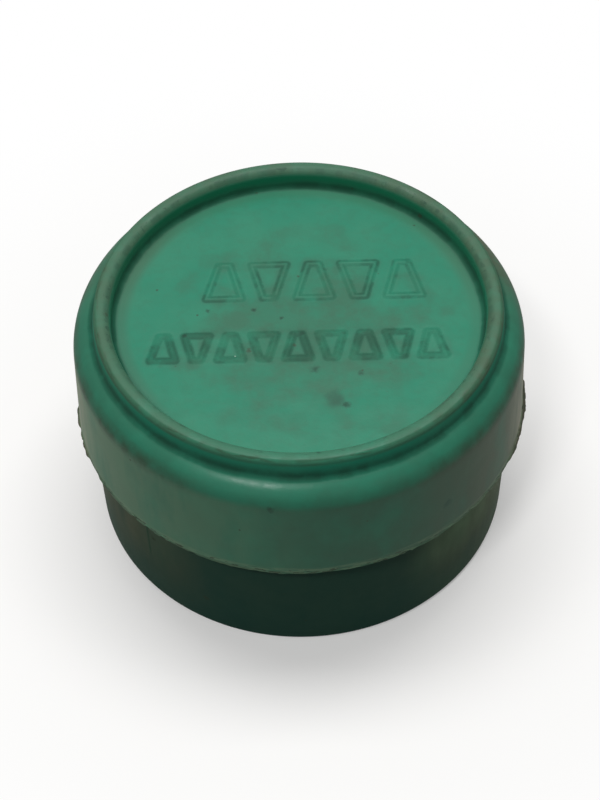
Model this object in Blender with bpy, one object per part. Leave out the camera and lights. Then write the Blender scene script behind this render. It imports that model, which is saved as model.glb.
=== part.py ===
"""Round moulded case with a push-on lid, made to hold one disc-shaped gear cutter.

Both pieces are moulded plastic, turned about +Z. The cup ends in a thinner spigot, and the
lid pushes down over it: a tapered skirt, a rounded shoulder, a raised ring and a panel that
lies recessed inside the ring. The origin is the centre of the cup's underside.
"""
import math

import bmesh
import bpy
from mathutils import Vector

MM = 0.001

# Pocket, the room for a cutter of 50 mm
POCKET_RADIUS = 25.8 * MM  # at the rim
POCKET_DRAFT = 0.3 * MM  # radius lost from the rim down to the floor
POCKET_DEPTH = 28.0 * MM
POCKET_FILLET = 1.5 * MM

# Cup
FLOOR_THICKNESS = 1.8 * MM
SPIGOT_WALL = 1.2 * MM  # at the rim
SPIGOT_HEIGHT = 12.7 * MM  # from the ledge to the rim
SPIGOT_DRAFT = 0.15 * MM  # radius gained from the rim down to the ledge
LEDGE_WIDTH = 1.1 * MM
BODY_DRAFT = 0.15 * MM  # radius lost from the ledge down to the base
BASE_ROUND = 1.0 * MM
RIM_ROUND = 0.9 * MM  # outer corner of the rim
RIM_BREAK = 0.3 * MM  # inner corner of the rim
FOOT_WIDTH = 3.5 * MM
FOOT_RECESS = 0.6 * MM
FOOT_FILLET = 0.25 * MM

# Play between the two pieces, all round
FIT_GAP = 0.3 * MM

# Lid
PANEL_THICKNESS = 2.0 * MM
SKIRT_EDGE_WALL = 2.25 * MM  # at the mouth
SHOULDER_WALL = 1.7 * MM  # where the skirt's outer face would meet the shoulder's
SHOULDER_RISE = 0.55 * MM  # from the panel up to the ring's outer foot
SHOULDER_FALL = 1.2 * MM  # from the ring's outer foot down to the skirt
SHOULDER_ROUND = 3.6 * MM
SKIRT_EDGE_ROUND = 0.3 * MM
RING_SETBACK = 2.65 * MM  # from the shoulder in to the ring's outer foot
RING_WIDTH = 2.45 * MM  # at its foot
RING_HEIGHT = 2.95 * MM  # above the panel
RING_OUTER_DRAFT = 0.4 * MM
RING_INNER_DRAFT = 0.1 * MM
RING_OUTER_ROUND = 0.7 * MM
RING_INNER_ROUND = 1.1 * MM  # the softer edge, towards the panel
RING_FILLET = 0.35 * MM  # at the ring's outer foot
PANEL_FILLET = 0.6 * MM  # all round the panel, at the ring's inner foot

# Fineness of the turned surfaces
TURN_STEPS = 80
CHORD_ERROR = 0.02 * MM  # most that a fillet's facet departs from its arc
WELD_DISTANCE = 0.001 * MM
SMOOTH_ANGLE = math.radians(30)

# Colours, linear
CUP_COLOUR = (0.018, 0.075, 0.05)
LID_COLOUR = (0.06, 0.27, 0.18)
PLASTIC_ROUGHNESS = 0.45

# Heights that follow, from the cup's underside
FLOOR_HEIGHT = FOOT_RECESS + FLOOR_THICKNESS
RIM_HEIGHT = FLOOR_HEIGHT + POCKET_DEPTH
LEDGE_HEIGHT = RIM_HEIGHT - SPIGOT_HEIGHT
MOUTH_HEIGHT = LEDGE_HEIGHT + FIT_GAP

# Radii that follow
SPIGOT_RADIUS = POCKET_RADIUS + SPIGOT_WALL
SPIGOT_FOOT_RADIUS = SPIGOT_RADIUS + SPIGOT_DRAFT
BODY_RADIUS = SPIGOT_FOOT_RADIUS + LEDGE_WIDTH


def fillet_reach(before, corner, after, radius):
    """Length of each side that a fillet of this radius takes up at a corner."""
    return radius / math.tan((before - corner).angle(after - corner) / 2)


def fillet_arc(before, corner, after, reach):
    """Points of the arc that rounds a corner and touches both sides at this reach."""
    back = (before - corner).normalized()
    ahead = (after - corner).normalized()
    half_angle = back.angle(ahead) / 2
    radius = reach * math.tan(half_angle)
    centre = corner + (back + ahead).normalized() * radius / math.sin(half_angle)
    spoke = corner + back * reach - centre
    across = Vector((-spoke.y, spoke.x))
    sweep = (corner + ahead * reach - centre).angle_signed(spoke)
    facet = 2 * math.acos(max(1 - CHORD_ERROR / radius, 0))
    steps = max(2, math.ceil(abs(sweep) / facet))
    points = []
    for step in range(steps + 1):
        turn = sweep * step / steps
        points.append(centre + spoke * math.cos(turn) + across * math.sin(turn))
    return points


def rounded_outline(corners):
    """Outline through (radius, height, fillet) corners, with both of its ends on the axis."""
    places = [Vector(corner[:2]) for corner in corners]
    wanted = [0.0] * len(corners)
    for index in range(1, len(corners) - 1):
        wanted[index] = fillet_reach(*places[index - 1:index + 2], corners[index][2])

    # Two fillets that meet on a short side both shrink to fit it
    reaches = list(wanted)
    for index in range(len(corners) - 1):
        room = (places[index + 1] - places[index]).length
        share = room / max(wanted[index] + wanted[index + 1], room)
        reaches[index] = min(reaches[index], wanted[index] * share)
        reaches[index + 1] = min(reaches[index + 1], wanted[index + 1] * share)

    outline = []
    for index, place in enumerate(places):
        if reaches[index] > 0:
            outline += fillet_arc(*places[index - 1:index + 2], reaches[index])
        else:
            outline.append(place)
    return outline


def cup_outline():
    """Half section of the cup, from the middle of its underside round to its floor."""
    base_radius = BODY_RADIUS - BODY_DRAFT
    return rounded_outline([
        (0, FOOT_RECESS, 0),
        (base_radius - BASE_ROUND - FOOT_WIDTH, FOOT_RECESS, FOOT_FILLET),
        (base_radius - BASE_ROUND - FOOT_WIDTH, 0, FOOT_FILLET),
        (base_radius, 0, BASE_ROUND),
        (BODY_RADIUS, LEDGE_HEIGHT, RIM_BREAK),
        (SPIGOT_FOOT_RADIUS, LEDGE_HEIGHT, 0),
        (SPIGOT_RADIUS, RIM_HEIGHT, RIM_ROUND),
        (POCKET_RADIUS, RIM_HEIGHT, RIM_BREAK),
        (POCKET_RADIUS - POCKET_DRAFT, FLOOR_HEIGHT, POCKET_FILLET),
        (0, FLOOR_HEIGHT, 0),
    ])


def lid_outline():
    """Half section of the lid from its ceiling round to its panel, measured up from its mouth."""
    ceiling = SPIGOT_HEIGHT
    panel = ceiling + PANEL_THICKNESS
    shoulder = panel + SHOULDER_RISE
    crest = panel + RING_HEIGHT
    mouth_radius = SPIGOT_FOOT_RADIUS + FIT_GAP
    ceiling_radius = SPIGOT_RADIUS + FIT_GAP
    shoulder_radius = ceiling_radius + SHOULDER_WALL
    ring_radius = shoulder_radius - RING_SETBACK
    panel_radius = ring_radius - RING_WIDTH
    return rounded_outline([
        (0, ceiling, 0),
        (ceiling_radius, ceiling, RIM_ROUND + FIT_GAP),
        (mouth_radius, 0, SKIRT_EDGE_ROUND),
        (mouth_radius + SKIRT_EDGE_WALL, 0, SKIRT_EDGE_ROUND),
        (shoulder_radius, shoulder - SHOULDER_FALL, SHOULDER_ROUND),
        (ring_radius, shoulder, RING_FILLET),
        (ring_radius - RING_OUTER_DRAFT, crest, RING_OUTER_ROUND),
        (panel_radius + RING_INNER_DRAFT, crest, RING_INNER_ROUND),
        (panel_radius, panel, PANEL_FILLET),
        (0, panel, 0),
    ])


def turned_mesh(name, outline):
    """Closed mesh that an outline sweeps in one turn about +Z."""
    turned = bmesh.new()
    points = [turned.verts.new((point.x, 0, point.y)) for point in outline]
    edges = [turned.edges.new(pair) for pair in zip(points, points[1:])]
    bmesh.ops.spin(turned, geom=points + edges, cent=(0, 0, 0), axis=(0, 0, 1),
                   angle=math.tau, steps=TURN_STEPS, use_merge=True)
    bmesh.ops.remove_doubles(turned, verts=turned.verts, dist=WELD_DISTANCE)
    bmesh.ops.recalc_face_normals(turned, faces=turned.faces)
    mesh = bpy.data.meshes.new(name)
    turned.to_mesh(mesh)
    turned.free()
    mesh.shade_smooth()
    mesh.set_sharp_from_angle(angle=SMOOTH_ANGLE)
    return mesh


def moulded_plastic(name, colour):
    """Plain moulded polyethylene in one colour."""
    material = bpy.data.materials.new(name)
    material.use_nodes = True
    shader = material.node_tree.nodes["Principled BSDF"]
    shader.inputs["Base Color"].default_value = (*colour, 1)
    shader.inputs["Roughness"].default_value = PLASTIC_ROUGHNESS
    shader.inputs["Metallic"].default_value = 0
    return material


def add_piece(name, outline, colour, height):
    """Add one moulded piece, with its own origin on the axis at this height."""
    mesh = turned_mesh(name, outline)
    mesh.materials.append(moulded_plastic(name + "_plastic", colour))
    piece = bpy.data.objects.new(name, mesh)
    piece.location.z = height
    bpy.context.scene.collection.objects.link(piece)
    return piece


def build_case():
    """Clear the scene and build the cup, with the lid pushed home over its spigot."""
    for old in list(bpy.data.objects):
        bpy.data.objects.remove(old, do_unlink=True)
    case = bpy.data.objects.new("case", None)
    bpy.context.scene.collection.objects.link(case)
    add_piece("cup", cup_outline(), CUP_COLOUR, 0).parent = case
    add_piece("lid", lid_outline(), LID_COLOUR, MOUTH_HEIGHT).parent = case


build_case()
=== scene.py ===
"""Round moulded case with a push-on lid, made to hold one disc-shaped gear cutter.

The two mouldings stand in for the packed cup and lid, at the same sizes, and add what the mould
and the years gave them: rough flash at the lid's mouth, a shallow relief on its panel, scuffs
and grime. All sizes are in metres, and +Z is up.
"""
import itertools
import math
from types import SimpleNamespace

import bmesh
import bpy
from bpy.props import FloatProperty, FloatVectorProperty, IntProperty, PointerProperty
from mathutils import Matrix, Vector, noise


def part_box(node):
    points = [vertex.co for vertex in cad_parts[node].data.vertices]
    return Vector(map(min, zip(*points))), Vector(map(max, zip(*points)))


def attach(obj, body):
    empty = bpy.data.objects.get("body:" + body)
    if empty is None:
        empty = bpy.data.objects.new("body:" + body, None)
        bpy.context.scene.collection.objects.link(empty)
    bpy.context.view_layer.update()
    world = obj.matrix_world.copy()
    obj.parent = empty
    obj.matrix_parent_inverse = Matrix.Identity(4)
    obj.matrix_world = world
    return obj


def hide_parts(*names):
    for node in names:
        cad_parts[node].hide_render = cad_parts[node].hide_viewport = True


bl_info = {
    "name": "Round lidded cutter case",
    "version": (1, 0, 0),
    "blender": (4, 5, 0),
    "location": "3D View > Sidebar > Cutter case",
    "description": "Models and finishes a round moulded case with a push-on lid",
    "category": "Object",
}

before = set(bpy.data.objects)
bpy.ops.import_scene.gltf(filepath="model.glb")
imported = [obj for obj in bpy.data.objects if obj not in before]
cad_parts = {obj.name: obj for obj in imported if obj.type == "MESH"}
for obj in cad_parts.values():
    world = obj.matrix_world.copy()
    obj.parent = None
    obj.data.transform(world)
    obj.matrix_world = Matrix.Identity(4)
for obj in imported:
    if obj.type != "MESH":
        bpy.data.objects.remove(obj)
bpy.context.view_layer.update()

MM = 0.001
LID_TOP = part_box("lid")[1].z
RING_RADIUS = 25 * MM  # about where the streaks round the lid have their true length

# Plastic
POLYETHYLENE_IOR = 1.51
SATIN_ROUGHNESS = 0.3  # of the lid where it is clean

# Floor and lamps
FLOOR_SIZE = 6
FLOOR_DROP = 0.02 * MM  # keeps the floor clear of the cup's foot
FLOOR_BOUNCE = (0.2, 0.2, 0.19)  # linear colour that the floor throws up on the case
SHADOW_START = 30 * MM  # distance from the axis at which the shadow starts to fade
SHADOW_END = 90 * MM
OVERHEAD_LAMP = ("overhead_lamp", (0, 0.13, 0.56), (0.5, 0.2))  # name, place and size
WINDOW_LAMP = ("window_lamp", (-0.14, -0.28, 0.52), (0.12, 0.05))

# Sockets of a Mix node that mixes colours
MIX_FACTOR = 0
MIX_A = 6
MIX_B = 7
MIX_RESULT = 2


def linear_colour(hex_code):
    """Linear RGB of an sRGB hex colour."""
    channels = [int(hex_code[place:place + 2], 16) / 255 for place in (0, 2, 4)]
    return [c / 12.92 if c <= 0.04045 else ((c + 0.055) / 1.055) ** 2.4 for c in channels]


def length_setting(label, about, millimetres):
    """A length that a user can change, with its default in millimetres."""
    return FloatProperty(name=label, description=about, default=millimetres * MM,
                         min=0, precision=5, subtype="DISTANCE", unit="LENGTH")


def colour_setting(label, about, hex_code):
    """A colour that a user can change, with its default as sRGB hex."""
    return FloatVectorProperty(name=label, description=about, size=3, min=0, max=1,
                               default=linear_colour(hex_code), subtype="COLOR")


class CupSizes(bpy.types.PropertyGroup):
    """Sizes of the cup."""
    pocket_radius: length_setting("Pocket radius", "Radius of the pocket at the rim", 25.8)
    pocket_draft: length_setting("Pocket draft", "Radius lost from the rim to the floor", 0.3)
    pocket_depth: length_setting("Pocket depth", "Depth of the pocket below the rim", 28.0)
    pocket_fillet: length_setting("Pocket fillet", "Fillet round the pocket's floor", 1.5)
    floor_thickness: length_setting("Floor", "Thickness of the cup's floor", 1.8)
    spigot_wall: length_setting("Spigot wall", "Wall of the spigot at the rim", 1.2)
    spigot_height: length_setting("Spigot height", "Height above the ledge", 12.7)
    spigot_draft: length_setting("Spigot draft", "Radius gained down to the ledge", 0.15)
    ledge_width: length_setting("Ledge", "Width of the ledge at the spigot's foot", 1.1)
    body_draft: length_setting("Body draft", "Radius lost from the ledge to the base", 0.15)
    base_round: length_setting("Base round", "Rounding of the base's outer edge", 1.0)
    rim_round: length_setting("Rim round", "Rounding of the rim's outer edge", 0.9)
    rim_break: length_setting("Rim break", "Rounding of the rim's inner edge", 0.3)
    foot_width: length_setting("Foot width", "Width of the ring that the cup stands on", 3.5)
    foot_recess: length_setting("Foot recess", "Depth of the recess inside that ring", 0.6)
    foot_fillet: length_setting("Foot fillet", "Fillets of that recess", 0.25)


class LidSizes(bpy.types.PropertyGroup):
    """Sizes of the lid."""
    fit_gap: length_setting("Play", "Play between the lid and the cup, all round", 0.3)
    panel_thickness: length_setting("Panel", "Thickness of the panel", 2.0)
    edge_wall: length_setting("Mouth wall", "Wall of the skirt at the mouth", 2.25)
    edge_round: length_setting("Mouth round", "Rounding of the mouth's inner edge", 0.3)
    shoulder_wall: length_setting("Shoulder wall", "Wall at the shoulder's corner", 1.7)
    shoulder_rise: length_setting("Shoulder rise", "From the panel up to the ring's foot", 0.55)
    shoulder_fall: length_setting("Shoulder fall", "From the ring's foot to the skirt", 1.2)
    shoulder_round: length_setting("Shoulder round", "Rounding of the shoulder", 3.6)
    ring_setback: length_setting("Ring setback", "From the shoulder in to the ring", 2.65)
    ring_width: length_setting("Ring width", "Width of the raised ring at its foot", 2.45)
    ring_height: length_setting("Ring height", "Height of the ring above the panel", 2.95)
    ring_outer_draft: length_setting("Ring outer draft", "Lean of the outer wall", 0.4)
    ring_inner_draft: length_setting("Ring inner draft", "Lean of the inner wall", 0.1)
    ring_outer_round: length_setting("Ring outer round", "Rounding of the outer edge", 0.7)
    ring_inner_round: length_setting("Ring inner round", "Rounding of the inner edge", 1.1)
    ring_fillet: length_setting("Ring fillet", "Fillet at the ring's outer foot", 0.35)
    panel_fillet: length_setting("Panel fillet", "Fillet all round the panel", 0.6)


class WearSizes(bpy.types.PropertyGroup):
    """Sizes of the relief, and of what the mould and the years left on the lid."""
    flash_thickness: length_setting("Flash thickness", "Thickness at the mouth", 0.16)
    flash_reach: length_setting("Flash reach", "How far whole flash stands out", 0.6)
    rim_ripple: length_setting("Rim ripple", "How far the edge strays up and down", 0.14)
    notch_depth: length_setting("Notch depth", "How far the edge's notches go up", 0.35)
    skirt_ripple: length_setting("Skirt ripple", "How far the skirt strays", 0.05)
    stroke_width: length_setting("Stroke width", "Width of the relief's raised line", 0.78)
    stroke_slope: length_setting("Stroke slope", "Width of the slope at its sides", 0.3)
    relief_height: length_setting("Relief height", "Height above the panel", 0.16)
    corner_width: length_setting("Corner width", "Size of the grime in a mark's corners", 0.5)
    smear_width: length_setting("Smear width", "How far grime smears round a line", 0.85)
    steps: IntProperty(name="Steps", description="Steps of a full turn", default=720, min=48)


class CaseColours(bpy.types.PropertyGroup):
    """Colours of the two plastics and of what lies on them, some also laid as painted shade and
    sheen.
    """
    lid_clean: colour_setting("Lid, clean", "The lid's green where it is clean", "1B7F63")
    lid_pale: colour_setting("Lid, pale", "Paler blotches in the lid's green", "2A8165")
    # Greyed plastic is also laid as painted shade round the panel's border
    lid_greyed: colour_setting("Lid, greyed", "Handled, greyed plastic", "2C654D")
    lid_rubbed: colour_setting("Lid, rubbed", "Rubbed plastic on the ring's crest", "306B52")
    lid_dull: colour_setting("Lid, dull", "Dull plastic on the shoulder", "256A52")
    # Painted shade: a deeper green for the ring's inner wall, which lies in shade
    lid_wall_shade: colour_setting("Lid, deep", "Unworn plastic on the ring's inner wall", "06704F")
    cup_deep: colour_setting("Cup, deep", "Deeper tone of the cup's green", "163A30")
    cup_pale: colour_setting("Cup, pale", "Paler tone of the cup's green", "1E3E33")
    haze: colour_setting("Haze", "Grey-green haze of fine scuffs", "728E70")
    dust: colour_setting("Dust", "Dry brown-grey dust film", "625D48")
    # Pale dust, also laid as painted sheen where the skirt and the cup turn away at the sides
    pale_dust_and_sheen: colour_setting("Pale dust", "Pale dry dust at the sides", "ADAA92")
    soil: colour_setting("Soil", "Olive dirt, on edges and in spots", "2A3826")
    # Soil is also laid as painted shade on the skirt, in front and to the right
    brown_soil: colour_setting("Brown soil", "Dirt on the flash and at the back", "4E4632")
    # Grime is also laid as painted shade in the groove and round the panel's foot
    grime: colour_setting("Grime", "Old dark grime in the corners", "103C2C")
    # Pale chips and grains of dust, partly painted glints
    chip_and_glint: colour_setting("Chip", "Pale chip or grain of dust", "A9C4B4")


class StageSettings(bpy.types.PropertyGroup):
    """Camera, lamps and floor."""
    view_distance: FloatProperty(name="Distance", description="From the camera to its aim",
                                 default=0.2465, subtype="DISTANCE", unit="LENGTH")
    view_fall: FloatProperty(name="Fall", description="Angle that the camera looks down",
                             default=math.radians(50.279), subtype="ANGLE", unit="ROTATION")
    view_roll: FloatProperty(name="Roll", description="Turn of the camera about its own axis",
                             default=math.radians(-1.295), subtype="ANGLE", unit="ROTATION")
    view_aim: FloatVectorProperty(name="Aim", description="Point that the camera looks at",
                                  default=(-0.00005, 0.00777, 0.00645),
                                  subtype="TRANSLATION", unit="LENGTH")
    lens: FloatProperty(name="Lens", description="Focal length in millimetres",
                        default=77.729)
    key_power: FloatProperty(name="Key", description="Watts of the overhead lamp",
                             default=2.4)
    window_power: FloatProperty(name="Window", description="Watts of the small lamp",
                                default=1.0)
    sky: FloatProperty(name="Sky", description="Level of the sky's light", default=0.14)
    floor: colour_setting("Floor", "Colour of the floor", "FAF9F7")


# Modelling in edit mode


def edit_only(piece):
    """Make one piece the only one selected, and go into its edit mode."""
    bpy.ops.object.select_all(action="DESELECT")
    piece.select_set(True)
    bpy.context.view_layer.objects.active = piece
    bpy.ops.object.mode_set(mode="EDIT")


def choose_points(piece, wanted):
    """Select the points of a piece in edit mode whose place passes a test."""
    bpy.ops.mesh.select_mode(type="VERT")
    bpy.ops.mesh.select_all(action="DESELECT")
    mesh = bmesh.from_edit_mesh(piece.data)
    for point in mesh.verts:
        point.select_set(wanted(point.co))
    bmesh.update_edit_mesh(piece.data)


def choose_edges(piece, wanted):
    """Select the edges of a piece in edit mode that pass a test."""
    bpy.ops.mesh.select_mode(type="EDGE")
    bpy.ops.mesh.select_all(action="DESELECT")
    mesh = bmesh.from_edit_mesh(piece.data)
    for edge in mesh.edges:
        edge.select_set(wanted(edge))
    bmesh.update_edit_mesh(piece.data)


def draw_outline(name, corners):
    """Draw half a section through (radius, height, fillet, segments) corners."""
    bpy.ops.object.select_all(action="DESELECT")
    bpy.ops.mesh.primitive_plane_add(size=MM, location=(0, 0, 0))
    piece = bpy.context.object
    piece.name = name
    piece.data.name = name
    edit_only(piece)
    bpy.ops.mesh.select_all(action="SELECT")
    bpy.ops.mesh.merge(type="CENTER")
    places = [Vector((corner[0], 0, corner[1])) for corner in corners]
    bpy.ops.transform.translate(value=places[0])
    for before, after in zip(places, places[1:]):
        bpy.ops.mesh.extrude_vertices_move(TRANSFORM_OT_translate={"value": after - before})

    # Fillets, each with the reach that gives its radius
    for index, (_, _, fillet, segments) in enumerate(corners):
        if fillet == 0:
            continue
        corner = places[index]
        back = places[index - 1] - corner
        ahead = places[index + 1] - corner
        choose_points(piece, lambda place: (place - corner).length < 0.001 * MM)
        bpy.ops.mesh.bevel(offset=fillet / math.tan(back.angle(ahead) / 2),
                           segments=segments, affect="VERTICES", clamp_overlap=False)
    return piece


def turn_outline(steps):
    """Spin the outline in edit mode into a full turn, and close its seam and poles."""
    bpy.ops.mesh.select_all(action="SELECT")
    bpy.ops.mesh.spin(steps=steps, angle=math.tau, center=(0, 0, 0), axis=(0, 0, 1),
                      use_auto_merge=True)
    bpy.ops.mesh.select_all(action="SELECT")
    bpy.ops.mesh.remove_doubles(threshold=0.001 * MM)
    bpy.ops.mesh.normals_make_consistent(inside=False)


def finish_piece(piece, material, body, node):
    """Shade a piece, give it its material, and let it stand for its packed node."""
    bpy.ops.object.shade_smooth_by_angle(angle=math.radians(40))
    piece.data.materials.append(material)
    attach(piece, body)
    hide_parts(node)


# Cup


def cup_corners(cup):
    """Half section of the cup, from the middle of its underside round to its floor."""
    floor = cup.foot_recess + cup.floor_thickness
    rim = floor + cup.pocket_depth
    ledge = rim - cup.spigot_height
    spigot = cup.pocket_radius + cup.spigot_wall
    body = spigot + cup.spigot_draft + cup.ledge_width
    base = body - cup.body_draft
    foot = base - cup.base_round - cup.foot_width
    return [
        (0, cup.foot_recess, 0, 0),
        (foot, cup.foot_recess, cup.foot_fillet, 2),
        (foot, 0, cup.foot_fillet, 2),
        (base, 0, cup.base_round, 6),
        (body, ledge, cup.rim_break, 4),
        (spigot + cup.spigot_draft, ledge, 0, 0),
        (spigot, rim, cup.rim_round, 6),
        (cup.pocket_radius, rim, cup.rim_break, 4),
        (cup.pocket_radius - cup.pocket_draft, floor, cup.pocket_fillet, 6),
        (0, floor, 0, 0),
    ]


# Lid


def lid_mouth(cup, lid):
    """Height of the lid's mouth, and the skirt's outer radius there."""
    height = cup.foot_recess + cup.floor_thickness + cup.pocket_depth - cup.spigot_height
    radius = cup.pocket_radius + cup.spigot_wall + cup.spigot_draft
    return height + lid.fit_gap, radius + lid.fit_gap + lid.edge_wall


def lid_corners(cup, lid, wear):
    """Half section of the lid, from its ceiling round to the border of its panel."""
    mouth, skirt_radius = lid_mouth(cup, lid)
    ceiling = mouth + cup.spigot_height
    panel = ceiling + lid.panel_thickness
    shoulder = panel + lid.shoulder_rise
    crest = panel + lid.ring_height
    ceiling_radius = cup.pocket_radius + cup.spigot_wall + lid.fit_gap
    shoulder_radius = ceiling_radius + lid.shoulder_wall
    ring_radius = shoulder_radius - lid.ring_setback
    panel_radius = ring_radius - lid.ring_width
    flash = wear.flash_thickness
    return [
        (0, ceiling, 0, 0),
        (ceiling_radius, ceiling, cup.rim_round + lid.fit_gap, 5),
        (skirt_radius - lid.edge_wall, mouth, lid.edge_round, 4),
        (skirt_radius - lid.edge_round, mouth, 0, 0),
        (skirt_radius + flash / 4, mouth, 0, 0),
        (skirt_radius + flash / 4, mouth + flash / 2, 0, 0),
        (skirt_radius, mouth + flash, 0, 0),
        (skirt_radius, mouth + 2 * flash, 0, 0),
        (shoulder_radius, shoulder - lid.shoulder_fall, lid.shoulder_round, 12),
        (ring_radius, shoulder, lid.ring_fillet, 4),
        (ring_radius - lid.ring_outer_draft, crest, lid.ring_outer_round, 7),
        (panel_radius + lid.ring_inner_draft, crest, lid.ring_inner_round, 9),
        (panel_radius, panel, lid.panel_fillet, 6),
        (panel_radius - 2 * lid.panel_fillet, panel, 0, 0),
    ]


def smooth_share(low, high, value):
    """Share from 0 at low to 1 at high, with soft ends."""
    share = min(max((value - low) / (high - low), 0), 1)
    return share * share * (3 - 2 * share)


# Two rows of plain marks, each mark one rack tooth or the gap between two: the middle of the
# first mark, the pitch, the width of a mark, its two heights and the number of marks
MARK_ROWS = (
    (-9.6 * MM, 5.85 * MM, 4.6 * MM, 3.2 * MM, 9.2 * MM, 5),
    (-17.2 * MM, 4.26 * MM, 3.2 * MM, -7.2 * MM, -3.1 * MM, 9),
)
MARK_SMEARS = (0.35, 0.6)  # how far grime has dulled each row
MARK_FLANK = math.radians(14.5)
RELIEF_LOW = Vector((-20.9, -9.0)) * MM
RELIEF_HIGH = Vector((20.6, 11.2)) * MM


def row_of_marks(first, pitch, width, low, high, count):
    """Outlines of a row of marks, teeth and gaps by turns."""
    narrow = width / 2 - (high - low) * math.tan(MARK_FLANK)
    row = []
    for index in range(count):
        middle = first + index * pitch
        foot, top = (low, high) if index % 2 == 0 else (high, low)
        corners = [(-width / 2, foot), (-narrow, top), (narrow, top), (width / 2, foot)]
        row.append([Vector((middle + x, y)) for x, y in corners])
    return row


def distance_to_outline(place, outline):
    """Shortest distance from a place to the closed line through several corners."""
    nearest = math.inf
    for start, end in zip(outline, outline[1:] + outline[:1]):
        run = end - start
        share = min(max((place - start).dot(run) / run.length_squared, 0), 1)
        nearest = min(nearest, (place - start - run * share).length)
    return nearest


def corner_grime(place, row, width):
    """Share of the dark grime that is packed into some corners of a row of marks."""
    share = 0
    for corner in itertools.chain(*row):
        packed = 3 * noise.noise(Vector((*corner, 0)) / (0.7 * MM)) - 0.2
        off = (place - corner).length / width
        share = max(share, min(packed, 1) * math.exp(-(off ** 4)))
    return share


def fill_panel(piece, panel, steps):
    """Fill the panel with a fine grid whose border has as many points as the hole."""
    middle = (RELIEF_LOW + RELIEF_HIGH) / 2
    half = (RELIEF_HIGH - RELIEF_LOW) / 2
    centre = Vector((middle.x, middle.y, panel))
    columns = round(steps / 2 * half.x / (half.x + half.y))
    bpy.ops.mesh.select_all(action="DESELECT")
    bpy.ops.mesh.primitive_grid_add(x_subdivisions=columns, y_subdivisions=steps // 2 - columns,
                                    size=2 * half.x, location=centre)
    bpy.ops.transform.resize(value=(1, half.y / half.x, 1), center_override=centre)

    # The grid's corners are drawn in, clear of the hole's edge
    mesh = bmesh.from_edit_mesh(piece.data)
    for point in mesh.verts:
        if point.select:
            off = point.co - centre
            corner = (off.x / half.x * off.y / half.y) ** 2
            point.co = centre + off * (1 - 0.045 * corner)
    bmesh.update_edit_mesh(piece.data)

    def open_at_panel(edge):
        return edge.is_boundary and abs(edge.verts[0].co.z - panel) < 0.001 * MM

    choose_edges(piece, open_at_panel)
    bpy.ops.mesh.bridge_edge_loops()
    bpy.ops.mesh.select_all(action="SELECT")
    bpy.ops.mesh.normals_make_consistent(inside=False)


def raise_relief(piece, panel, border, wear):
    """Raise the marks from the panel, and note where grime gathers round them."""
    rows = [row_of_marks(*row) for row in MARK_ROWS]
    between = (MARK_ROWS[0][3] + MARK_ROWS[1][4]) / 2
    half = wear.stroke_width / 2
    raised = piece.vertex_groups.new(name="raised")
    shares = []
    for point in piece.data.vertices:
        place = point.co.xy
        if abs(point.co.z - panel) > 0.001 * MM or place.length > border - 0.01 * MM:
            shares.append(0)
            continue
        which = 0 if place.y > between else 1
        row = rows[which]
        nearest = min(distance_to_outline(place, outline) for outline in row)
        share = 1 - smooth_share(half - wear.stroke_slope, half, nearest)
        worn = 0.75 + 0.6 * noise.noise(point.co / (4 * MM))
        if share > 0:
            raised.add([point.index], share * min(max(worn, 0.3), 1), "REPLACE")
        off = (nearest - half) / wear.stroke_slope
        line = 0.75 * math.exp(-off * off)
        smear = MARK_SMEARS[which] * math.exp(-(nearest / wear.smear_width) ** 2)
        shares.append(max(line, smear, corner_grime(place, row, wear.corner_width)))
    grime = piece.data.attributes.new("mark_grime", "FLOAT", "POINT")
    grime.data.foreach_set("value", shares)
    lift = piece.modifiers.new("relief", "DISPLACE")
    lift.direction = "Z"
    lift.mid_level = 0
    lift.strength = wear.relief_height
    lift.vertex_group = raised.name
    bpy.ops.object.modifier_apply(modifier=lift.name)


def around(azimuth, turns, seed):
    """Noise from -1 to 1 along a circle, with about this many swings in a turn."""
    radius = turns / math.tau
    return noise.noise(Vector((radius * math.cos(azimuth), radius * math.sin(azimuth), seed)))


# Where flash is left round the mouth, and where the edge is notched: middle and half width in
# degrees of azimuth, and the share of the full reach
FLASH_PLACES = (
    (-5, 10, 1.0), (-16, 12, 0.6), (-172.5, 4.5, 0.45), (-166, 2, 0.35), (-161.5, 3.5, 0.55),
    (-150, 3, 0.25), (95, 9, 0.5),
)
NOTCH_PLACES = (
    (-136, 0.9, 1.0), (-131.5, 1.0, 0.8), (-126.5, 0.8, 1.0), (-118, 1.0, 0.4), (-64, 1.0, 0.5),
    (-51, 0.8, 0.6), (-44, 0.7, 0.9), (-38, 1.2, 0.8), (20, 1.5, 0.8), (71, 1.2, 0.6),
    (140, 1.4, 0.9),
)


def share_at(azimuth, places):
    """Largest share that several places round the mouth have at an azimuth."""
    share = 0
    for middle, half, height in places:
        off = abs((math.degrees(azimuth) - middle + 180) % 360 - 180)
        share = max(share, height * (1 - smooth_share(0.5 * half, half, off)))
    return share


def flash_share(azimuth):
    """Share of the flash's full reach that is left at an azimuth."""
    share = max(0.06 + 0.1 * around(azimuth, 60, 1), share_at(azimuth, FLASH_PLACES))
    ragged = 0.8 + 0.35 * around(azimuth, 130, 2) + 0.25 * around(azimuth, 320, 3)
    return max(share * ragged, 0)


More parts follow.
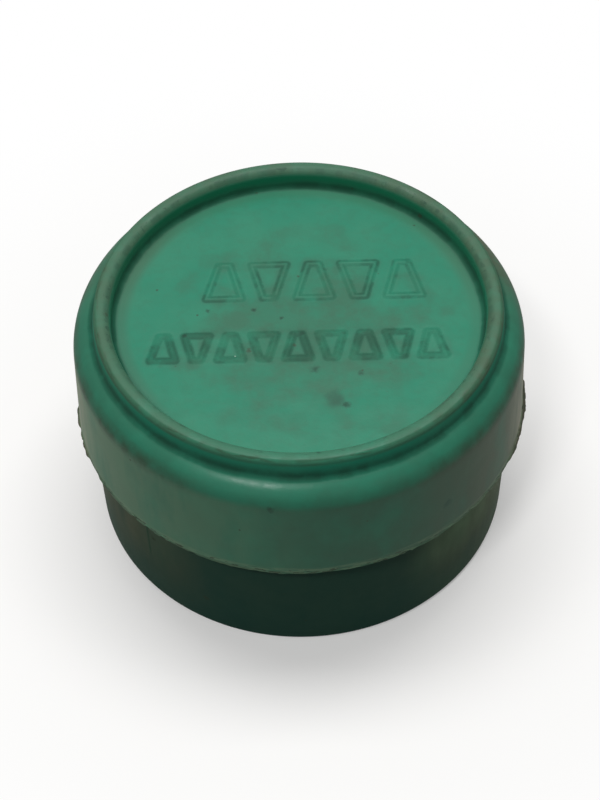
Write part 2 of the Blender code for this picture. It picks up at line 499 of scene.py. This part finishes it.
def roughen_mouth(piece, mouth, skirt_radius, wear):
    """Pull the flash out in ragged fins, and let the mouth and the skirt stray a little."""
    reaches = [0.0] * len(piece.data.vertices)
    for point in piece.data.vertices:
        above = point.co.z - mouth
        radius = point.co.xy.length
        if radius < skirt_radius - 1.2 * MM or above > 12 * MM:
            continue
        azimuth = math.atan2(point.co.y, point.co.x)
        outward = Vector((math.cos(azimuth), math.sin(azimuth), 0))

        # Low waves of the whole skirt fade towards the shoulder
        fade = 1 - smooth_share(4 * MM, 12 * MM, above)
        wave = around(azimuth, 9, 4) + 0.5 * around(azimuth, 23, 5 + above / (3 * MM))
        move = outward * wave * wear.skirt_ripple * fade

        # The edge itself strays up and down, with the flash on it, and has a few notches
        near = 1 - smooth_share(0, 0.9 * MM, above)
        ripple = around(azimuth, 40, 6) + 0.7 * around(azimuth, 110, 7)
        ripple += 0.9 * around(azimuth, 240, 9)
        notch = share_at(azimuth, NOTCH_PLACES)
        ripple *= 0.9 + around(azimuth, 14, 10)
        move.z += (ripple * wear.rim_ripple + notch * wear.notch_depth) * near
        if radius > skirt_radius + 0.01 * MM and above < wear.flash_thickness:
            share = flash_share(azimuth)
            reaches[point.index] = share
            move += outward * share * wear.flash_reach
            move.z -= 0.3 * share * wear.flash_reach * (0.6 + around(azimuth, 70, 8))
        point.co += move
    reach = piece.data.attributes.new("flash_reach", "FLOAT", "POINT")
    reach.data.foreach_set("value", reaches)


# Materials


def add_node(tree, kind, settings=None, inputs=None):
    """Add a node, with its settings, and its inputs as values or as sockets to link."""
    node = tree.nodes.new(kind)
    for key, value in (settings or {}).items():
        setattr(node, key, value)
    for key, value in (inputs or {}).items():
        if isinstance(value, bpy.types.Node):
            value = value.outputs[0]
        if isinstance(value, bpy.types.NodeSocket):
            tree.links.new(value, node.inputs[key])
        else:
            node.inputs[key].default_value = value
    return node


def new_material(name):
    """Add an empty material, and return it with its node tree."""
    material = bpy.data.materials.new(name)
    material.use_nodes = True
    material.node_tree.nodes.clear()
    return material, material.node_tree


def combine(tree, operation, *values):
    """Result of one kind of sum, such as MULTIPLY or MAXIMUM, over all the values."""
    result = values[0]
    for value in values[1:]:
        result = add_node(tree, "ShaderNodeMath", {"operation": operation}, {
            0: result, 1: value})
    return result


def ramp(tree, value, start, end, first=0, last=1):
    """Share that goes softly from the first value at the start to the last at the end."""
    return add_node(tree, "ShaderNodeMapRange", {"interpolation_type": "SMOOTHSTEP"}, {
        "Value": value, "From Min": start, "From Max": end, "To Min": first, "To Max": last})


def band(tree, value, middle, reach):
    """1 where a value is at the middle, down to 0 where it is this far off."""
    off = combine(tree, "SUBTRACT", value, middle)
    return ramp(tree, add_node(tree, "ShaderNodeMath", {"operation": "ABSOLUTE"}, {0: off}),
                0, reach, 1, 0)


def find_place(tree):
    """Place on the case, the same laid flat, its distance from the axis, and its X, Y and Z."""
    place = add_node(tree, "ShaderNodeTexCoord").outputs["Object"]
    flat = add_node(tree, "ShaderNodeVectorMath", {"operation": "MULTIPLY"}, {
        0: place, 1: (1, 1, 0)})
    radius = add_node(tree, "ShaderNodeVectorMath", {"operation": "LENGTH"}, {0: flat})
    axes = add_node(tree, "ShaderNodeSeparateXYZ", {}, {0: place})
    return place, flat, radius.outputs["Value"], *axes.outputs


def blotches(tree, place, width, low, high, seed=0, tall=1):
    """Soft blotches of about this width, from 0 where the noise is low to 1 where high."""
    shifted = add_node(tree, "ShaderNodeMapping", {}, {
        "Vector": place, "Location": (seed * 17 * MM, seed * 29 * MM, seed * 11 * MM),
        "Scale": (1, 1, 1 / tall)})
    cloud = add_node(tree, "ShaderNodeTexNoise", {}, {
        "Vector": shifted, "Scale": 1 / width, "Detail": 4, "Roughness": 0.55})
    return add_node(tree, "ShaderNodeMapRange", {}, {
        "Value": cloud, "From Min": low, "From Max": high})


def streaks(tree, flat, profile, length, width, low, high):
    """Streaks of about this length round the axis, and of this width across it, from 0 to 1."""
    outward = add_node(tree, "ShaderNodeVectorMath", {"operation": "NORMALIZE"}, {0: flat})
    across = add_node(tree, "ShaderNodeCombineXYZ", {}, {
        "Z": combine(tree, "MULTIPLY", profile, length / width)})
    wound = add_node(tree, "ShaderNodeVectorMath", {"operation": "MULTIPLY_ADD"}, {
        0: outward, 1: (RING_RADIUS,) * 3, 2: across})
    cloud = add_node(tree, "ShaderNodeTexNoise", {}, {
        "Vector": wound, "Scale": 1 / length, "Detail": 3})
    return ramp(tree, cloud, low, high)


def specks(tree, place, spacing, size, kept, seed=0):
    """Roundish specks of about this size, in the kept share of cells this far apart."""
    shifted = add_node(tree, "ShaderNodeVectorMath", {"operation": "ADD"}, {
        0: place, 1: (seed * 13 * MM, seed * 7 * MM, 0)})
    stray = add_node(tree, "ShaderNodeTexNoise", {}, {"Vector": shifted, "Scale": 1.5 / size})
    bent = add_node(tree, "ShaderNodeVectorMath", {"operation": "MULTIPLY_ADD"}, {
        0: stray.outputs["Color"], 1: (0.9 * size,) * 3, 2: shifted})
    cells = add_node(tree, "ShaderNodeTexVoronoi", {}, {"Vector": bent, "Scale": 1 / spacing})
    spot = ramp(tree, cells.outputs["Distance"], 0.25 * size / spacing, 0.65 * size / spacing,
                1, 0)
    chance = add_node(tree, "ShaderNodeSeparateColor", {}, {0: cells.outputs["Color"]})
    drawn = combine(tree, "LESS_THAN", chance.outputs["Red"], kept)
    return combine(tree, "MULTIPLY", spot, drawn)


def lay_coats(tree, base, coats):
    """Colour of a base under several coats, each a colour and the share that it covers."""
    result = (*base, 1)
    for colour, share in coats:
        coat = add_node(tree, "ShaderNodeMix", {"data_type": "RGBA"}, {
            MIX_FACTOR: share, MIX_A: result, MIX_B: (*colour, 1)})
        result = coat.outputs[MIX_RESULT]
    return result


def moulded_relief(tree, place):
    """Fine grain of a moulded face, over the slow waves of its cooling."""
    wave = add_node(tree, "ShaderNodeTexNoise", {}, {
        "Vector": place, "Scale": 1 / (6 * MM), "Detail": 2.5})
    waves = add_node(tree, "ShaderNodeBump", {}, {
        "Height": wave, "Strength": 1, "Distance": 0.12 * MM})

    # Real grain of about 0.05 mm wouldn't show, so it is drawn at 0.4 mm
    grain = add_node(tree, "ShaderNodeTexNoise", {}, {
        "Vector": place, "Scale": 1 / (0.4 * MM), "Detail": 3, "Roughness": 0.6})
    return add_node(tree, "ShaderNodeBump", {}, {
        "Height": grain, "Strength": 1, "Distance": 0.012 * MM, "Normal": waves})


# Small stains, seven on the panel and two on the skirt: middle and size in millimetres, and how
# dark each is
STAINS = (
    ((1.9, -9.1, 32.7), 0.9, 0.8),
    ((4.2, -14.0, 32.7), 1.9, 0.6),
    ((5.6, -15.0, 32.7), 0.8, 0.9),
    ((7.6, -9.9, 32.7), 0.55, 0.8),
    ((-5.7, 1.2, 32.7), 0.5, 1.0),
    ((-2.2, -0.3, 32.7), 0.45, 0.9),
    ((-11.6, 1.2, 32.7), 0.5, 0.8),
    ((-3.9, -29.0, 30.2), 0.8, 1.0),
    ((17.9, -23.4, 23.3), 1.0, 0.8),
)


def stain(tree, place, middle, size, dark):
    """Share of one small stain, ragged at its edge."""
    size = size * MM
    stray = add_node(tree, "ShaderNodeTexNoise", {}, {"Vector": place, "Scale": 1.2 / size})
    bent = add_node(tree, "ShaderNodeVectorMath", {"operation": "MULTIPLY_ADD"}, {
        0: stray.outputs["Color"], 1: (1.2 * size,) * 3, 2: place})
    off = add_node(tree, "ShaderNodeVectorMath", {"operation": "DISTANCE"}, {
        0: bent, 1: [value * MM + 0.6 * size for value in middle]})
    return ramp(tree, off.outputs["Value"], 0.1 * size, size, dark, 0)


def lid_ground(tree):
    """Places, patterns and zones on the lid that several of its coats share."""
    at = SimpleNamespace()
    at.place, at.flat, at.radius, at.across, at.along, at.height = find_place(tree)
    at.sideways = add_node(tree, "ShaderNodeMath", {"operation": "ABSOLUTE"}, {0: at.across})

    # Patterns
    at.patchy = blotches(tree, at.place, 3 * MM, 0.38, 0.62, 1)
    at.mottled = blotches(tree, at.place, 1.2 * MM, 0.3, 0.7, 2)
    profile = combine(tree, "SUBTRACT", at.radius, at.height)
    at.streaky = streaks(tree, at.flat, profile, 2.2 * MM, 0.5 * MM, 0.42, 0.6)
    at.chipped = streaks(tree, at.flat, profile, 0.9 * MM, 0.3 * MM, 0.57, 0.61)

    # Zones, from the panel outwards and down
    at.border = ramp(tree, at.radius, 20.8 * MM, 22.8 * MM)
    at.crest = ramp(tree, at.height, 34.6 * MM, 35.2 * MM)
    at.shoulder = combine(tree, "MINIMUM", ramp(tree, at.radius, 26.3 * MM, 27.2 * MM),
                          ramp(tree, at.height, 33.6 * MM, 33.2 * MM))
    at.outer = ramp(tree, at.radius, 28.0 * MM, 28.3 * MM)
    at.skirt = combine(tree, "MINIMUM", ramp(tree, at.height, 31.0 * MM, 29.8 * MM), at.outer)
    at.above_ceiling = combine(tree, "GREATER_THAN", at.height, 31.5 * MM)
    at.sides = ramp(tree, at.sideways, 6 * MM, 24 * MM)
    at.back = ramp(tree, at.along, -3 * MM, 10 * MM)
    return at


def handled_share(tree, at):
    """Share that is greyed where it was handled, most in the middle of the panel, and round its
    border, where grime and painted shade lie, most at the left.
    """
    patch = add_node(tree, "ShaderNodeMapping", {"vector_type": "TEXTURE"}, {
        "Vector": at.place, "Location": (1 * MM, -4 * MM, 0), "Scale": (16 * MM, 16 * MM, 1)})
    off = add_node(tree, "ShaderNodeVectorMath", {"operation": "LENGTH"}, {0: patch})
    off = combine(tree, "ADD", off.outputs["Value"],
                  blotches(tree, at.place, 5 * MM, 0.35, 0.65, 3))
    patch = combine(tree, "MULTIPLY", ramp(tree, off, 0.6, 1.8, 1, 0.15),
                    ramp(tree, at.patchy, 0, 1, 0.7, 1))
    # Round the panel's border: partly grime, partly painted shade near the ring's wall, most at
    # the left
    sullied_and_shaded = combine(tree, "MAXIMUM", ramp(tree, at.sideways, 11 * MM, 20 * MM, 0.25, 0.5),
                      ramp(tree, at.across, -10 * MM, -20 * MM, 0, 0.75))
    handled = combine(tree, "MAXIMUM", patch, combine(tree, "MULTIPLY", at.mottled, 0.35),
                      combine(tree, "MULTIPLY", at.border, sullied_and_shaded))
    return combine(tree, "MULTIPLY", handled, ramp(tree, at.radius, 24 * MM, 23.5 * MM))


def worn_share(tree, at):
    """Share that is worn, on the shoulder at the sides."""
    return combine(tree, "MULTIPLY", at.shoulder, at.sides,
                   ramp(tree, at.height, 30 * MM, 31.5 * MM),
                   ramp(tree, at.patchy, 0, 1, 0.7, 1))


def browned_share(tree, at):
    """Share that is browner, on the crest and on what falls away behind it."""
    behind = combine(tree, "MULTIPLY", at.back, ramp(tree, at.radius, 25.5 * MM, 26.2 * MM),
                     ramp(tree, at.height, 28 * MM, 31 * MM),
                     ramp(tree, at.across, -25 * MM, 10 * MM, 0.35, 0.75))
    crest = combine(tree, "MULTIPLY", at.crest, combine(tree, "MAXIMUM", at.back, at.sides),
                    ramp(tree, at.across, 0, 22 * MM, 0.33, 0.45))
    return combine(tree, "MULTIPLY", combine(tree, "MAXIMUM", behind, crest),
                   ramp(tree, at.patchy, 0, 1, 0.6, 1))


def skirt_coats(tree, at, colours, mouth):
    """Coats on the skirt: dust, painted shade in front and to the right, pale dust and painted
    sheen at the sides, scrapes at the mouth.
    """
    filmed = combine(tree, "MULTIPLY", at.skirt,
                     ramp(tree, at.sideways, 8 * MM, 29 * MM, 0.3, 0.65),
                     blotches(tree, at.place, 4 * MM, 0.1, 0.55, 6, 3))
    # Painted shade on the skirt, in front and to the right
    shaded = combine(tree, "MULTIPLY", at.skirt,
                     ramp(tree, at.across, -16 * MM, 10 * MM, 0.1, 0.58),
                     ramp(tree, at.across, 29 * MM, 20 * MM, 0.4, 1),
                     blotches(tree, at.place, 6 * MM, 0.1, 0.5, 8, 2))
    # Pale dust and painted sheen towards the sides of the skirt
    pale = combine(tree, "MULTIPLY", at.skirt,
                   ramp(tree, at.sideways, 25.5 * MM, 29.5 * MM, 0, 0.62),
                   ramp(tree, at.height, 30 * MM, 28.5 * MM, 0.5, 1),
                   blotches(tree, at.place, 2.5 * MM, 0.2, 0.6, 9, 3))
    scraped = combine(tree, "MULTIPLY", at.skirt, ramp(tree, at.streaky, 0, 1, 0.3, 1),
                      ramp(tree, at.height, mouth + 1.2 * MM, mouth + 0.6 * MM, 0, 0.5))
    return (
        (colours.haze, combine(tree, "MULTIPLY", filmed, ramp(tree, at.across, 6 * MM, -10 * MM))),
        (colours.dust, combine(tree, "MULTIPLY", filmed, ramp(tree, at.across, 8 * MM, 25 * MM))),
        (colours.soil, shaded),
        (colours.pale_dust_and_sheen, pale),
        (colours.haze, scraped),
    )


def corner_grime_and_shade_share(tree, at):
    """Share of the old grime and painted shade in the groove and round the panel."""
    # Partly grime and partly painted shade, darkest where the groove and the panel's foot lie in
    # shade
    groove = combine(tree, "MULTIPLY", band(tree, at.radius, 26.4 * MM, 1.1 * MM),
                     ramp(tree, at.height, 35.0 * MM, 33.5 * MM),
                     ramp(tree, at.patchy, 0, 1, 0.6, 0.85))
    foot = combine(tree, "MULTIPLY", band(tree, at.radius, 23.8 * MM, 0.9 * MM),
                   ramp(tree, at.height, 34.4 * MM, 33.1 * MM, 0, 0.8),
                   ramp(tree, at.patchy, 0, 1, 0.7, 1))
    return combine(tree, "MULTIPLY", combine(tree, "MAXIMUM", groove, foot), at.above_ceiling)


def grime_and_shade_share(tree, at, corners, marks, worn):
    """Share of all the grime, and of the painted shade in the corners: in corners, on the crest's
    inner edge, round marks, in stains.
    """
    edge = combine(tree, "MULTIPLY", band(tree, at.radius, 24.4 * MM, 0.6 * MM), at.crest,
                   ramp(tree, at.streaky, 0, 1, 0.05, 0.4),
                   ramp(tree, at.along, -23 * MM, -15 * MM, 0.45, 1))
    nicks = combine(tree, "MULTIPLY", band(tree, at.radius, 24.5 * MM, 0.6 * MM), at.crest,
                    at.patchy, at.chipped, 0.75)
    dark = ramp(tree, blotches(tree, at.place, 3.5 * MM, 0.4, 0.62, 7), 0, 1, 0.25, 1)
    stains = [stain(tree, at.place, *values) for values in STAINS]
    return combine(tree, "MAXIMUM", corners, edge, nicks, combine(tree, "MULTIPLY", marks, dark),
                   combine(tree, "MULTIPLY", worn, 0.2), *stains)


def soiled_share(tree, at, mouth):
    """Share of soil where the shoulder ends, on the crest's outer edge, at the mouth, in spots."""
    line = combine(tree, "MULTIPLY", band(tree, at.height, 30.7 * MM, 1.9 * MM), at.outer,
                   ramp(tree, at.sides, 0, 1, 0.25, 0.85), ramp(tree, at.patchy, 0, 1, 0.6, 1),
                   ramp(tree, at.mottled, 0, 1, 0.6, 1))
    rim = combine(tree, "MULTIPLY", band(tree, at.radius, 25.7 * MM, 0.5 * MM), at.patchy,
                  at.streaky, at.crest, 0.6)
    bits = combine(tree, "MULTIPLY", at.chipped, at.outer,
                   ramp(tree, at.height, mouth + 0.9 * MM, mouth + 0.5 * MM, 0, 0.9))
    lip = combine(tree, "MULTIPLY", at.outer, ramp(tree, at.across, 6 * MM, -12 * MM, 0.15, 0.5),
                  ramp(tree, at.height, mouth + 0.4 * MM, mouth + 0.2 * MM))
    spots = combine(tree, "MAXIMUM", specks(tree, at.place, 2.6 * MM, 0.35 * MM, 0.2),
                    specks(tree, at.place, 6 * MM, 0.8 * MM, 0.25, 1))
    return combine(tree, "MAXIMUM", line, rim, bits, lip, combine(tree, "MULTIPLY", spots, 0.75))


def moulded_lid_polyethylene(colours, mouth):
    """Green polyethylene, moulded: satin and a little waxy, with old grime and painted shade in
    its corners.
    """
    material, tree = new_material("moulded_green_polyethylene")
    at = lid_ground(tree)
    marks = add_node(tree, "ShaderNodeAttribute", {"attribute_name": "mark_grime"}).outputs["Fac"]
    reach = add_node(tree, "ShaderNodeAttribute", {"attribute_name": "flash_reach"})
    flash = ramp(tree, reach.outputs["Fac"], 0.12, 0.28)
    handled = handled_share(tree, at)
    worn = worn_share(tree, at)
    corners = corner_grime_and_shade_share(tree, at)
    grime_and_shade = grime_and_shade_share(tree, at, corners, marks, worn)
    soiled = soiled_share(tree, at, mouth)
    dull = combine(tree, "MULTIPLY", at.shoulder, blotches(tree, at.place, 6 * MM, 0.1, 0.6, 4))
    rubbed = combine(tree, "MULTIPLY", at.crest, blotches(tree, at.place, 3.5 * MM, 0.1, 0.5, 5))
    # Painted shade: the ring's inner wall, which stands in shade, gets a deeper green
    inner_wall_shade = combine(tree, "MULTIPLY", band(tree, at.radius, 24.1 * MM, 0.8 * MM),
                         ramp(tree, at.height, 35.0 * MM, 34.4 * MM, 0, 0.85), at.above_ceiling)
    colour = lay_coats(tree, colours.lid_clean, (
        (colours.lid_pale, blotches(tree, at.place, 8 * MM, 0.35, 0.65)),
        (colours.lid_greyed, handled),
        (colours.dust, combine(tree, "MULTIPLY", at.border, at.back, 0.17)),
        (colours.lid_dull, dull),
        (colours.lid_rubbed, rubbed),
        (colours.lid_wall_shade, inner_wall_shade),
        (colours.brown_soil, browned_share(tree, at)),
        *skirt_coats(tree, at, colours, mouth),
        # Grime, with painted shade in the groove and round the panel's foot
        (colours.grime, grime_and_shade),
        (colours.soil, soiled),
        (colours.brown_soil, flash),
        (colours.soil, combine(tree, "MULTIPLY", flash, ramp(tree, at.mottled, 0, 1, 0.25, 0.9))),
        # Pale chips and grains of dust, partly painted glints
        (colours.chip_and_glint, specks(tree, at.place, 4.5 * MM, 0.25 * MM, 0.08, 2)),
    ))

    # Dirt dulls the plastic, most in the corners and on the ring's outer wall
    low = combine(tree, "MULTIPLY", ramp(tree, at.height, 32.6 * MM, 31.2 * MM), at.outer)
    wall = combine(tree, "MULTIPLY", band(tree, at.radius, 26.1 * MM, 0.8 * MM), at.above_ceiling)
    dirt = combine(tree, "MAXIMUM", grime_and_shade, soiled, low, combine(tree, "MULTIPLY", handled, 0.4),
                   combine(tree, "MULTIPLY", at.mottled, at.shoulder, 0.35),
                   combine(tree, "MULTIPLY", rubbed, 0.7))
    rough = combine(tree, "MAXIMUM", marks, worn)
    packed = combine(tree, "MAXIMUM", corners, wall)
    roughness = combine(tree, "MAXIMUM", ramp(tree, dirt, 0, 1, SATIN_ROUGHNESS, 0.62),
                        ramp(tree, rough, 0, 0.6, SATIN_ROUGHNESS, 0.7),
                        ramp(tree, packed, 0.1, 0.5, SATIN_ROUGHNESS, 0.9))
    shader = add_node(tree, "ShaderNodeBsdfPrincipled", {}, {
        "Base Color": colour, "Roughness": roughness, "IOR": POLYETHYLENE_IOR,
        "Specular IOR Level": 0.3, "Normal": moulded_relief(tree, at.place)})
    add_node(tree, "ShaderNodeOutputMaterial", {}, {"Surface": shader})
    return material


def moulded_cup_polyethylene(colours):
    """Dark green polyethylene, moulded: satin, with a brownish film below the lid."""
    material, tree = new_material("moulded_dark_green_polyethylene")
    place, flat, radius, across, _, height = find_place(tree)
    sideways = add_node(tree, "ShaderNodeMath", {"operation": "ABSOLUTE"}, {0: across})
    outside = ramp(tree, radius, 27.4 * MM, 27.6 * MM)
    film = combine(tree, "MULTIPLY", outside, ramp(tree, sideways, 10 * MM, 26 * MM, 0.1, 1),
                   ramp(tree, height, 1 * MM, 11 * MM, 0.08, 0.5),
                   blotches(tree, place, 4 * MM, 0.1, 0.6, 1, 3))
    hazy = combine(tree, "MULTIPLY", outside, ramp(tree, across, 0, 22 * MM, 0.12, 0.9),
                   ramp(tree, sideways, 12 * MM, 20 * MM),
                   ramp(tree, height, 5 * MM, 14 * MM, 0.2, 1),
                   blotches(tree, place, 4 * MM, 0.1, 0.6, 2, 3))
    # Pale dust and painted sheen towards the sides of the cup
    pale = combine(tree, "MULTIPLY", outside, ramp(tree, sideways, 20 * MM, 28.3 * MM, 0, 0.26),
                   ramp(tree, across, -10 * MM, 10 * MM, 0.4, 1),
                   ramp(tree, height, 6 * MM, 14 * MM, 0.35, 1))
    spots = combine(tree, "MAXIMUM", specks(tree, place, 3 * MM, 0.35 * MM, 0.2),
                    specks(tree, place, 7 * MM, 0.9 * MM, 0.2, 1))

    # One long scratch down the outside
    off = add_node(tree, "ShaderNodeVectorMath", {"operation": "DISTANCE"}, {
        0: flat, 1: (-20.12 * MM, -19.75 * MM, 0)})
    scratch = combine(tree, "MULTIPLY", ramp(tree, off.outputs["Value"], 0.1 * MM, 0.3 * MM, 1, 0),
                      ramp(tree, height, 7 * MM, 10 * MM))
    colour = lay_coats(tree, colours.cup_deep, (
        (colours.cup_pale, blotches(tree, place, 7 * MM, 0.35, 0.65)),
        (colours.dust, film),
        (colours.haze, hazy),
        (colours.pale_dust_and_sheen, pale),
        (colours.soil, combine(tree, "MULTIPLY", spots, outside, 0.7)),
        (colours.grime, combine(tree, "MULTIPLY", scratch, 0.6)),
    ))
    shader = add_node(tree, "ShaderNodeBsdfPrincipled", {}, {
        "Base Color": colour, "Roughness": ramp(tree, outside, 0, 1, 0.4, 0.75),
        "IOR": POLYETHYLENE_IOR, "Specular IOR Level": 0.1,
        "Normal": moulded_relief(tree, place)})
    add_node(tree, "ShaderNodeOutputMaterial", {}, {"Surface": shader})
    return material


# Stage


def shown_rays(tree):
    """1 for rays from the camera, or from gloss or glass, and 0 for those that only light."""
    path = add_node(tree, "ShaderNodeLightPath")
    return combine(tree, "MAXIMUM", path.outputs["Is Camera Ray"], path.outputs["Is Glossy Ray"],
                   path.outputs["Is Transmission Ray"])


def pale_floor(colour):
    """Plain pale floor: it shows white, with the case's shadow, and throws little light up."""
    material, tree = new_material("plain_pale_floor")
    radius = find_place(tree)[2]
    shown = shown_rays(tree)
    shade = lay_coats(tree, FLOOR_BOUNCE, ((colour, shown),))
    lit = add_node(tree, "ShaderNodeBsdfDiffuse", {}, {"Color": shade})
    white = add_node(tree, "ShaderNodeEmission", {}, {"Color": (1, 1, 1, 1), "Strength": 1})
    away = ramp(tree, radius, SHADOW_START, SHADOW_END, 0.3, 1)
    surface = add_node(tree, "ShaderNodeMixShader", {}, {
        0: combine(tree, "MULTIPLY", away, shown), 1: lit, 2: white})
    add_node(tree, "ShaderNodeOutputMaterial", {}, {"Surface": surface})
    return material


def light_sky(scene, level):
    """Sky that lights the case softly, and shows white behind it."""
    world = bpy.data.worlds.new("studio")
    world.use_nodes = True
    tree = world.node_tree
    tree.nodes.clear()
    strength = add_node(tree, "ShaderNodeMapRange", {}, {
        "Value": shown_rays(tree), "To Min": level, "To Max": 1})
    light = add_node(tree, "ShaderNodeBackground", {}, {
        "Color": (1, 1, 1, 1), "Strength": strength})
    add_node(tree, "ShaderNodeOutputWorld", {}, {"Surface": light})
    scene.world = world


def add_lamp(name, place, size, power):
    """Add a soft rectangular lamp that faces the middle of the case."""
    bpy.ops.object.light_add(type="AREA", location=place)
    lamp = bpy.context.object
    lamp.name = name
    lamp.data.shape = "RECTANGLE"
    lamp.data.size, lamp.data.size_y = size
    lamp.data.energy = power
    aim = Vector((0, 0, LID_TOP / 2)) - lamp.location
    lamp.rotation_euler = aim.to_track_quat("-Z", "Y").to_euler()


def set_camera(scene, settings):
    """Stand the camera where the photograph was taken from."""
    fall = settings.view_fall
    ahead = Vector((0, math.cos(fall), -math.sin(fall)))
    turn = Matrix.Rotation(math.pi / 2 - fall, 3, "X")
    turn = turn @ Matrix.Rotation(settings.view_roll, 3, "Z")
    place = Vector(settings.view_aim) - ahead * settings.view_distance
    bpy.ops.object.camera_add(location=place, rotation=turn.to_euler())
    camera = bpy.context.object
    camera.name = "camera"
    camera.data.lens = settings.lens
    camera.data.clip_start = 0.01
    scene.camera = camera


# Operators


class OBJECT_OT_cutter_case_cup(bpy.types.Operator):
    """Model the cup and give it its finish"""
    bl_idname = "object.cutter_case_cup"
    bl_label = "Cup"

    def execute(self, context):
        scene = context.scene
        piece = draw_outline("cup_moulding", cup_corners(scene.case_cup))
        turn_outline(scene.case_wear.steps)
        bpy.ops.object.mode_set(mode="OBJECT")
        material = moulded_cup_polyethylene(scene.case_colours)
        finish_piece(piece, material, "cup_body", "cup")
        return {"FINISHED"}


class OBJECT_OT_cutter_case_lid(bpy.types.Operator):
    """Model the lid, with its flash and its relief, and give it its finish"""
    bl_idname = "object.cutter_case_lid"
    bl_label = "Lid"

    def execute(self, context):
        scene = context.scene
        wear = scene.case_wear
        corners = lid_corners(scene.case_cup, scene.case_lid, wear)
        mouth, skirt_radius = lid_mouth(scene.case_cup, scene.case_lid)
        border, panel = corners[-1][:2]
        piece = draw_outline("lid_moulding", corners)

        # Rows up the skirt, so that it can stray from a true cone
        def up_the_skirt(edge):
            low, high = sorted(point.co.z for point in edge.verts)
            return edge.verts[0].co.x > skirt_radius - MM and high - low > 3 * MM

        choose_edges(piece, up_the_skirt)
        bpy.ops.mesh.subdivide(number_cuts=9)
        turn_outline(wear.steps)
        fill_panel(piece, panel, wear.steps)
        bpy.ops.object.mode_set(mode="OBJECT")
        raise_relief(piece, panel, border, wear)
        roughen_mouth(piece, mouth, skirt_radius, wear)
        material = moulded_lid_polyethylene(scene.case_colours, mouth)
        finish_piece(piece, material, "lid_body", "lid")
        return {"FINISHED"}


class SCENE_OT_cutter_case_stage(bpy.types.Operator):
    """Set up the floor, the lamps, the sky and the camera"""
    bl_idname = "scene.cutter_case_stage"
    bl_label = "Stage"

    def execute(self, context):
        settings = context.scene.case_stage
        bpy.ops.object.select_all(action="DESELECT")
        bpy.ops.mesh.primitive_plane_add(size=FLOOR_SIZE, location=(0, 0, -FLOOR_DROP))
        floor = context.object
        floor.name = "floor"
        floor.data.materials.append(pale_floor(settings.floor))
        light_sky(context.scene, settings.sky)
        add_lamp(*OVERHEAD_LAMP, settings.key_power)
        add_lamp(*WINDOW_LAMP, settings.window_power)
        set_camera(context.scene, settings)
        context.scene.view_settings.view_transform = "Standard"
        return {"FINISHED"}


class VIEW3D_PT_cutter_case(bpy.types.Panel):
    """Buttons that build the case and its stage, with their settings"""
    bl_label = "Cutter case"
    bl_idname = "VIEW3D_PT_cutter_case"
    bl_space_type = "VIEW_3D"
    bl_region_type = "UI"
    bl_category = "Cutter case"

    def draw(self, context):
        for operator in OPERATORS:
            self.layout.operator(operator.bl_idname, text=operator.bl_label)
        for name, group in SETTINGS.items():
            column = self.layout.column()
            column.label(text=group.__doc__)
            for key in group.__annotations__:
                column.prop(getattr(context.scene, name), key)


OPERATORS = (OBJECT_OT_cutter_case_cup, OBJECT_OT_cutter_case_lid, SCENE_OT_cutter_case_stage)
SETTINGS = {
    "case_cup": CupSizes,
    "case_lid": LidSizes,
    "case_wear": WearSizes,
    "case_colours": CaseColours,
    "case_stage": StageSettings,
}


def register():
    """Add the settings, the operators and the panel to Blender."""
    for kind in (*SETTINGS.values(), *OPERATORS, VIEW3D_PT_cutter_case):
        bpy.utils.register_class(kind)
    for name, group in SETTINGS.items():
        setattr(bpy.types.Scene, name, PointerProperty(type=group))


def unregister():
    """Take them out of Blender again."""
    for name in SETTINGS:
        delattr(bpy.types.Scene, name)
    for kind in (VIEW3D_PT_cutter_case, *OPERATORS, *SETTINGS.values()):
        bpy.utils.unregister_class(kind)


def main():
    """Build the case and its stage."""
    register()
    bpy.ops.object.cutter_case_cup()
    bpy.ops.object.cutter_case_lid()
    bpy.ops.scene.cutter_case_stage()


if __name__ == "__main__":
    main()
